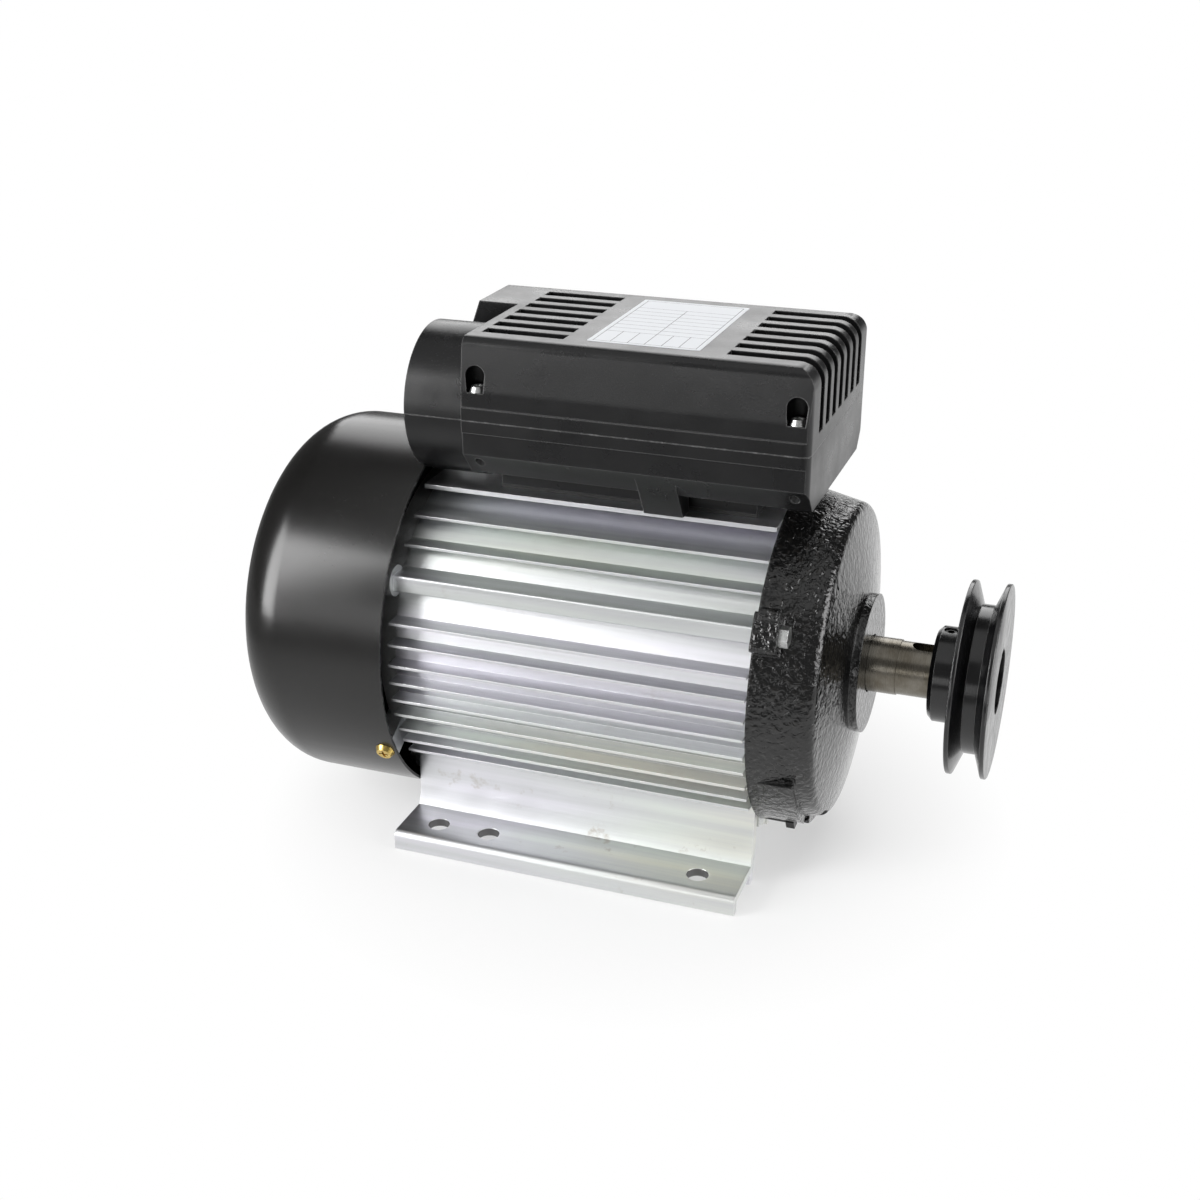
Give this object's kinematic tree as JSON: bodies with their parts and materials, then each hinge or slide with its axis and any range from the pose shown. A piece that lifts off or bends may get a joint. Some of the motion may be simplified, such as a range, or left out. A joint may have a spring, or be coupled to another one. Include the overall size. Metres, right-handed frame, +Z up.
{
  "type": "single-phase electric motor",
  "caption": "Foot-mounted single-phase induction motor with finned aluminium housing, fan cowl, capacitor terminal box and a V-belt pulley on its keyed shaft.",
  "frame": {"origin": "On the ground under the middle of the whole motor, below the shaft axis; the shaft axis is 90 mm above it and the longer foot pattern is centred 9.9 mm behind it.", "axes": "+X along the shaft towards the pulley, +Y to the side of the cable gland, +Z up."},
  "size_m": [0.3351, 0.1744, 0.2356],
  "materials": {
    "housing_aluminium": "bright extruded aluminium, clear etched, fine drawn lines along the shaft",
    "bell_iron": "gloss black paint over rough cast iron",
    "rear_bell_aluminium": "die cast aluminium, as cast",
    "cowl_steel": "satin black paint on pressed steel",
    "zinc_steel": "clear zinc plated steel",
    "yellow_zinc": "yellow passivated zinc on steel",
    "black_bolt": "black oxide steel",
    "core_steel": "stacked electrical steel sheets",
    "winding_wire": "enamelled winding wire, varnished",
    "shaft_steel": "turned steel with a thin film of oil",
    "bearing_steel": "ground bearing steel",
    "shield_steel": "pressed steel shield",
    "cage_aluminium": "cast aluminium cage",
    "spring_steel": "blue spring steel",
    "seal_rubber": "black nitrile rubber",
    "switch_board_plastic": "phenolic board",
    "collar_plastic": "natural nylon",
    "fan_plastic": "black polypropylene",
    "box_plastic": "black ABS with a fine spark grain",
    "capacitor_case": "smooth black capacitor can",
    "run_capacitor_case": "smooth white capacitor can",
    "board_plastic": "moulded terminal block",
    "stud_brass": "bright brass",
    "gland_plastic": "black polyamide",
    "pulley_iron": "gloss black paint on cast and turned iron"
  },
  "bodies": {
    "frame": {"motor_housing": "housing_aluminium", "drive_end_bell": "bell_iron", "rear_end_bell": "rear_bell_aluminium", "front_upper_bolts": "zinc_steel", "front_lower_bolts": "black_bolt", "rear_bell_bolts": "zinc_steel", "fan_cowl": "cowl_steel", "cowl_screws": "yellow_zinc", "stator_core": "core_steel", "main_winding": "winding_wire", "start_winding": "winding_wire", "front_bearing_outer_ring": "bearing_steel", "front_bearing_balls": "bearing_steel", "front_bearing_shields": "shield_steel", "rear_bearing_outer_ring": "bearing_steel", "rear_bearing_balls": "bearing_steel", "rear_bearing_shields": "shield_steel", "wave_washer": "spring_steel", "shaft_seal": "seal_rubber", "switch_board": "switch_board_plastic", "switch_contacts": "stud_brass", "terminal_box_lid": "box_plastic", "terminal_box_base": "box_plastic", "lid_screws": "zinc_steel", "base_screws": "zinc_steel", "base_gasket": "seal_rubber", "lead_grommet": "seal_rubber", "lid_seal": "seal_rubber", "start_capacitor": "capacitor_case", "run_capacitor": "run_capacitor_case", "capacitor_strap": "zinc_steel", "terminal_board": "board_plastic", "terminal_studs": "stud_brass", "terminal_nuts": "stud_brass", "gland_body": "gland_plastic", "gland_cap": "gland_plastic", "gland_seal": "seal_rubber", "gland_locknut": "gland_plastic"},
    "rotor": {"shaft": "shaft_steel", "drive_key": "shaft_steel", "front_bearing_inner_ring": "bearing_steel", "rear_bearing_inner_ring": "bearing_steel", "rotor_core": "core_steel", "rotor_cage": "cage_aluminium", "governor_plate": "zinc_steel", "governor_pins": "shaft_steel", "cooling_fan": "fan_plastic", "fan_clip": "spring_steel", "pulley": "pulley_iron", "set_screws": "black_bolt"},
    "switch_collar": {"switch_collar": "collar_plastic"},
    "upper_weight": {"upper_weight": "core_steel"},
    "lower_weight": {"lower_weight": "core_steel"}
  },
  "joints": [
    {"name": "rotor_spin", "type": "hinge", "parent": "frame", "child": "rotor", "pos_m": [0, 0, 0.09], "axis": [1, 0, 0], "continuous": true},
    {"name": "collar_slide", "type": "slide", "parent": "rotor", "child": "switch_collar", "axis": [1, 0, 0], "range_m": [0, 0.003], "stiffness_N_per_m": 1500, "springref_m": -0.001},
    {"name": "upper_weight_swing", "type": "hinge", "parent": "rotor", "child": "upper_weight", "pos_m": [-0.0709, 0, 0.116], "axis": [0, 1, 0], "range_deg": [0, 15.2]},
    {"name": "lower_weight_swing", "type": "hinge", "parent": "rotor", "child": "lower_weight", "pos_m": [-0.0709, 0, 0.064], "axis": [0, -1, 0], "range_deg": [0, 15.2]}
  ],
  "couplings": [
    {"joint": "upper_weight_swing", "follows": "collar_slide", "rad_per_m": 87.266},
    {"joint": "lower_weight_swing", "follows": "collar_slide", "rad_per_m": 87.266}
  ]
}
